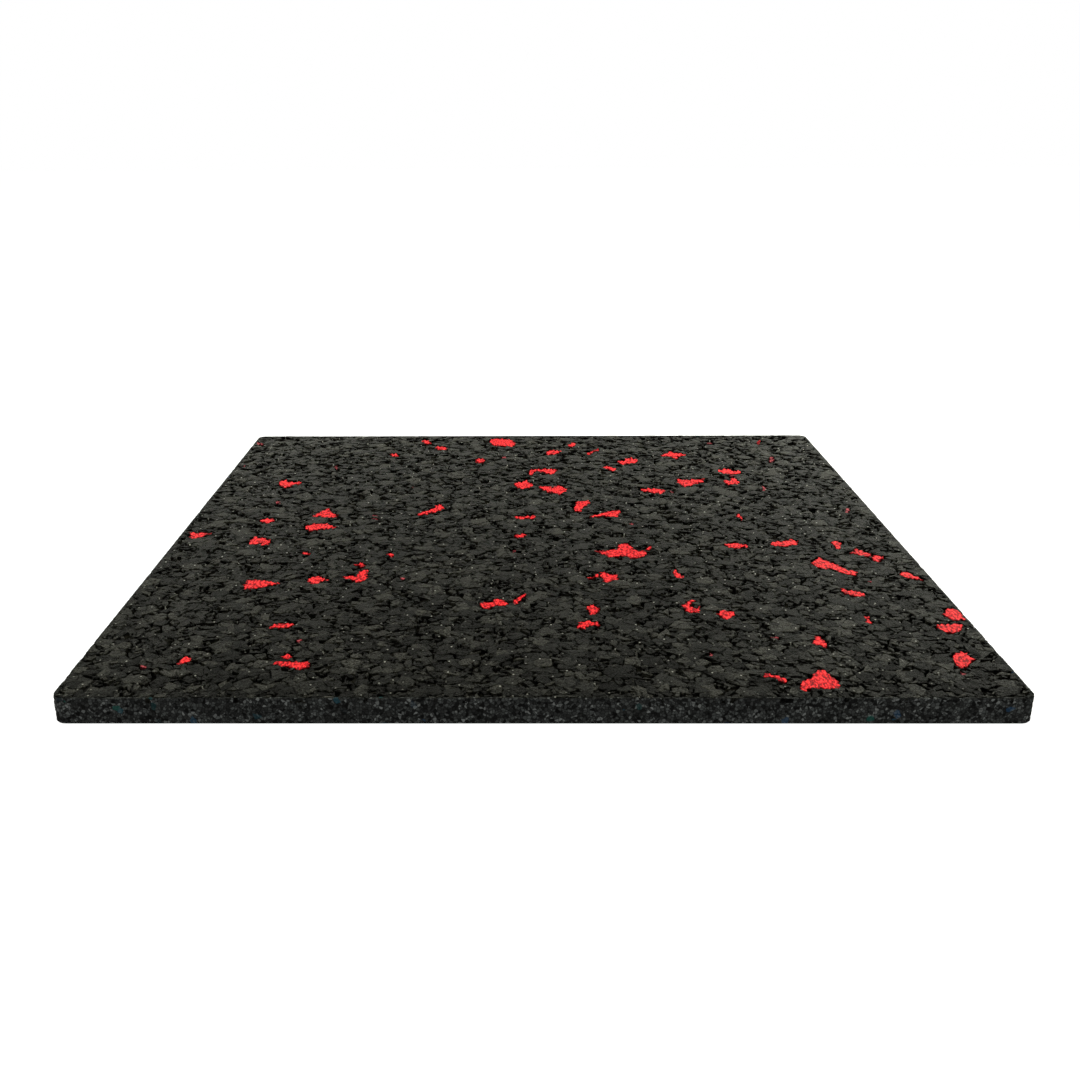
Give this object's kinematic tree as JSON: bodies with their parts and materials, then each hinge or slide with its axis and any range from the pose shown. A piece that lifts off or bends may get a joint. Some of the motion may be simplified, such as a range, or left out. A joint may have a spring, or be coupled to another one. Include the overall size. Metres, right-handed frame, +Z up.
{
  "type": "gym floor tile",
  "caption": "Square gym floor tile pressed from black rubber shreds with scattered red rubber flecks, a rough-grained flat wearing face, straight square-cut edges and a plain flat underside.",
  "frame": {"origin": "centre of the flat underside, on the floor that the tile lies on", "axes": "+Z up out of the wearing face, +X along the front edge to the right, +Y from the front edge to the back edge"},
  "size_m": [0.5, 0.5, 0.015],
  "materials": {
    "bonded_black_rubber": "matte",
    "red_fleck": "matte"
  },
  "bodies": {
    "root": {"rubber_tile": "bonded_black_rubber"}
  },
  "joints": []
}
